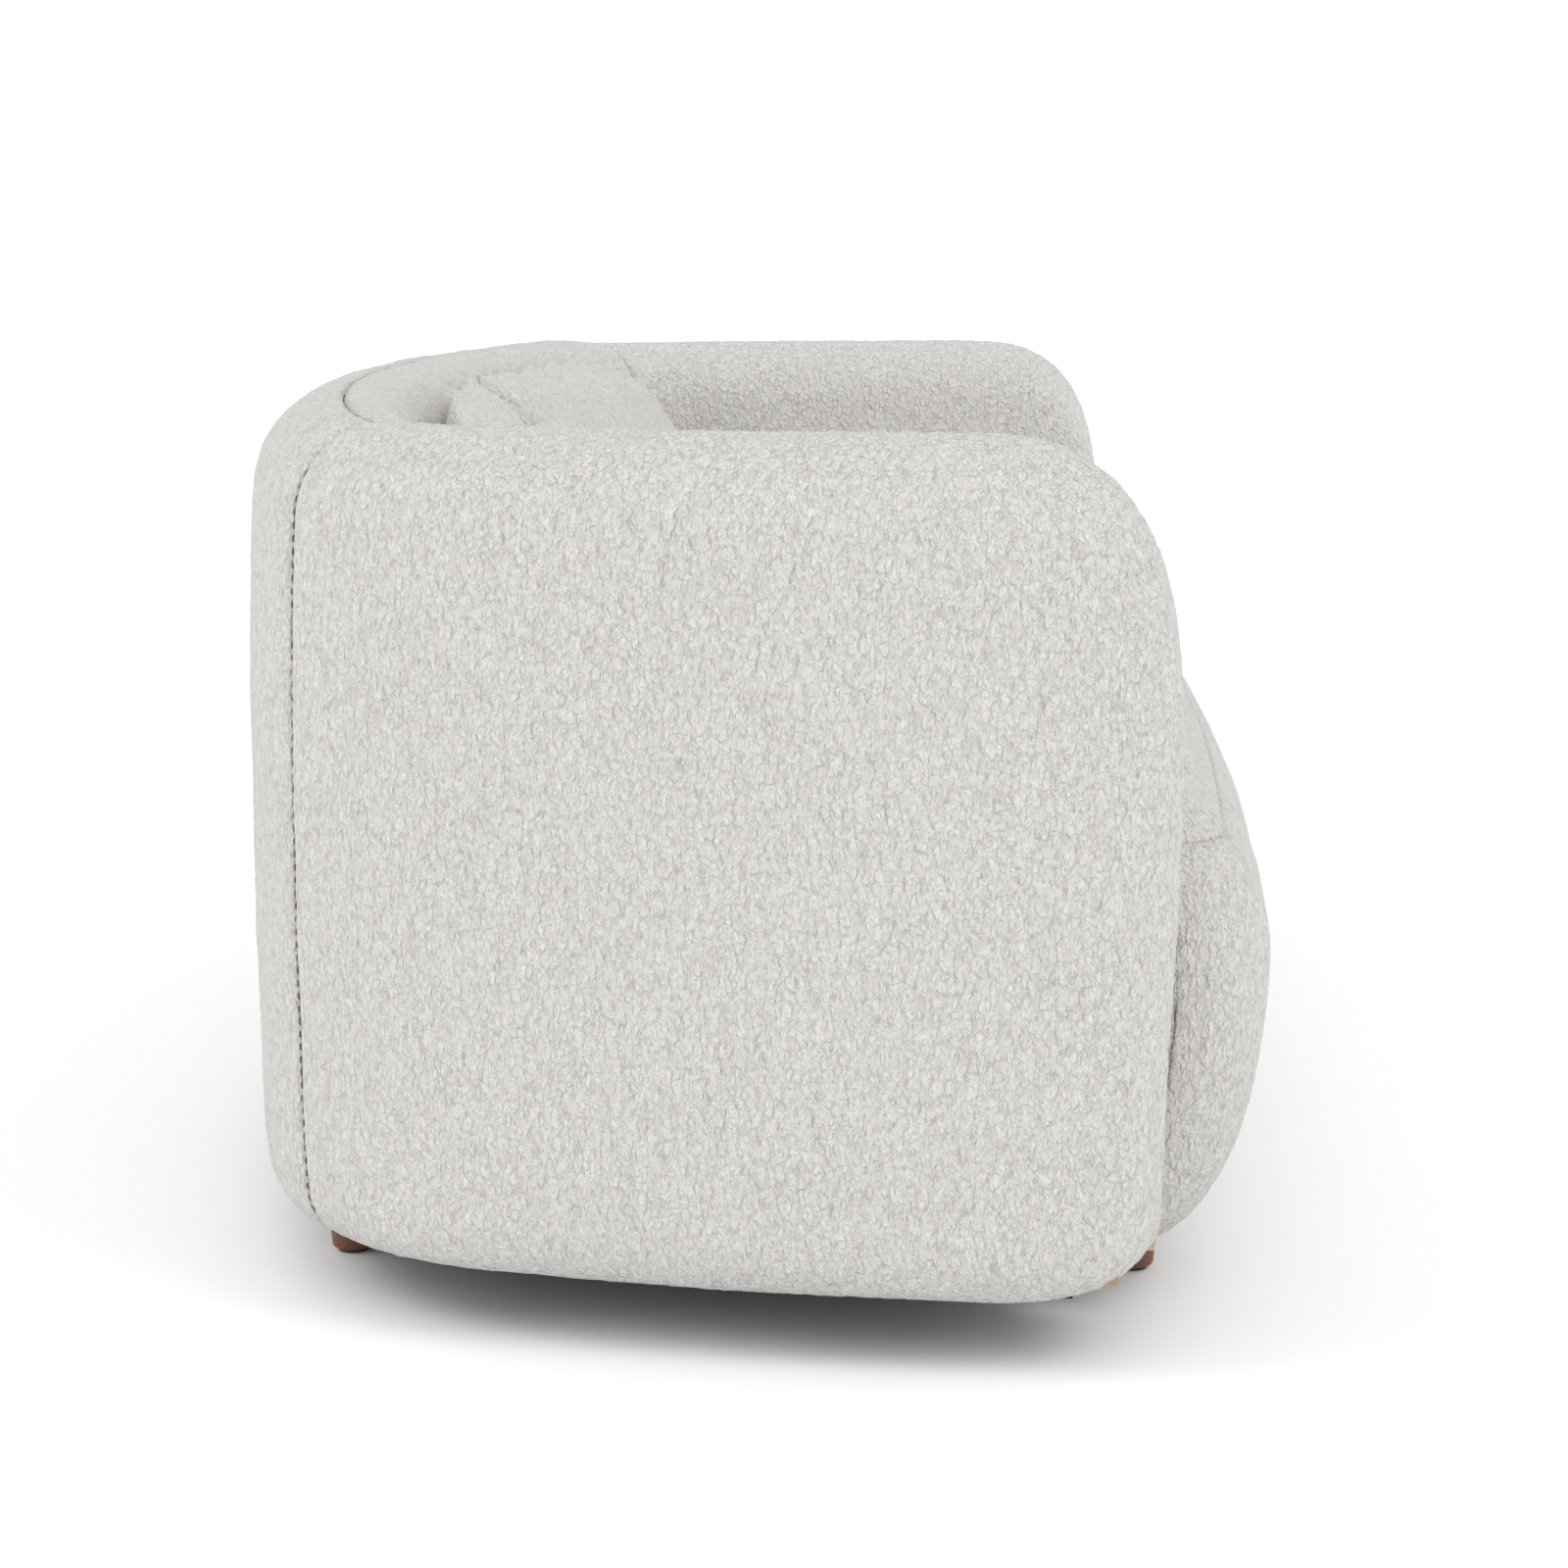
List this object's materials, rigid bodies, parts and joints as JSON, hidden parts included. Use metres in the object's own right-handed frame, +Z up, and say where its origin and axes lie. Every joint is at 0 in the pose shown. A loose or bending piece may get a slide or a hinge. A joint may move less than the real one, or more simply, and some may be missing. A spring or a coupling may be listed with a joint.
{
  "type": "sofa",
  "caption": "Curved tub sofa with wrap-around arms and back, a full rounded seat front, loose back cushions and short round wooden legs.",
  "frame": {"origin": "on the floor, in the middle of the length and depth of the sofa", "axes": "+X along the length to the right as seen from the front, the front faces -Y and the back +Y, +Z up"},
  "size_m": [2.1948, 0.98, 0.765],
  "materials": {
    "cushion_fabric": "cream looped pile with small curled nubs, matte",
    "felt": "grey pressed felt",
    "foam": "open-cell upholstery foam, pale yellow",
    "frame_wood": "plain plywood and softwood, unfinished",
    "glide": "black nylon floor glide",
    "hardboard": "thin brown board",
    "leg_wood": "stained reddish brown, satin lacquer",
    "lining": "black thin non-woven lining",
    "pile_fabric": "cream looped pile with small curled nubs, matte",
    "steel": "plain steel wire and bolts",
    "webbing": "dark woven elastic webbing"
  },
  "bodies": {
    "sofa": {"arm_board_left": "hardboard", "arm_board_right": "hardboard", "arm_bottom_rail_left": "frame_wood", "arm_bottom_rail_right": "frame_wood", "arm_foam_left": "foam", "arm_foam_right": "foam", "arm_front_post_left": "frame_wood", "arm_front_post_right": "frame_wood", "arm_inner_cover_left": "pile_fabric", "arm_inner_cover_right": "pile_fabric", "arm_outer_cover_left": "pile_fabric", "arm_outer_cover_right": "pile_fabric", "arm_rear_post_left": "frame_wood", "arm_rear_post_right": "frame_wood", "arm_top_rail_left": "frame_wood", "arm_top_rail_right": "frame_wood", "arm_webbing_left": "webbing", "arm_webbing_right": "webbing", "back_board": "hardboard", "back_bottom_rail": "frame_wood", "back_end_post_left": "frame_wood", "back_end_post_right": "frame_wood", "back_foam": "foam", "back_inner_cover": "pile_fabric", "back_middle_post_left": "frame_wood", "back_middle_post_right": "frame_wood", "back_outer_cover": "pile_fabric", "back_top_rail": "frame_wood", "back_webbing": "webbing", "centre_rail": "frame_wood", "corner_rail_left": "frame_wood", "corner_rail_right": "frame_wood", "dust_cover": "lining", "frame_screws": "steel", "front_bearer": "frame_wood", "front_leg_left": "leg_wood", "front_leg_right": "leg_wood", "leg_block_left": "frame_wood", "leg_block_right": "frame_wood", "leg_bolts": "steel", "leg_glides": "glide", "rear_bearer": "frame_wood", "rear_leg_left": "leg_wood", "rear_leg_right": "leg_wood", "seat_cover": "pile_fabric", "seat_foam": "foam", "seat_front_foam": "foam", "seat_front_rail": "frame_wood", "seat_rear_rail": "frame_wood", "seat_side_rail_left": "frame_wood", "seat_side_rail_right": "frame_wood", "seat_springs": "steel", "spring_pad": "felt", "tie_board_left": "frame_wood", "tie_board_right": "frame_wood"},
    "left_back_cushion": {"cushion_cover_left": "cushion_fabric", "cushion_fill_left": "foam"},
    "right_back_cushion": {"cushion_cover_right": "cushion_fabric", "cushion_fill_right": "foam"}
  },
  "joints": [
    {"name": "left_cushion_lift", "type": "slide", "parent": "sofa", "child": "left_back_cushion", "axis": [0, 0, 1], "range_m": [0, 0.32]},
    {"name": "right_cushion_lift", "type": "slide", "parent": "sofa", "child": "right_back_cushion", "axis": [0, 0, 1], "range_m": [0, 0.32]}
  ]
}
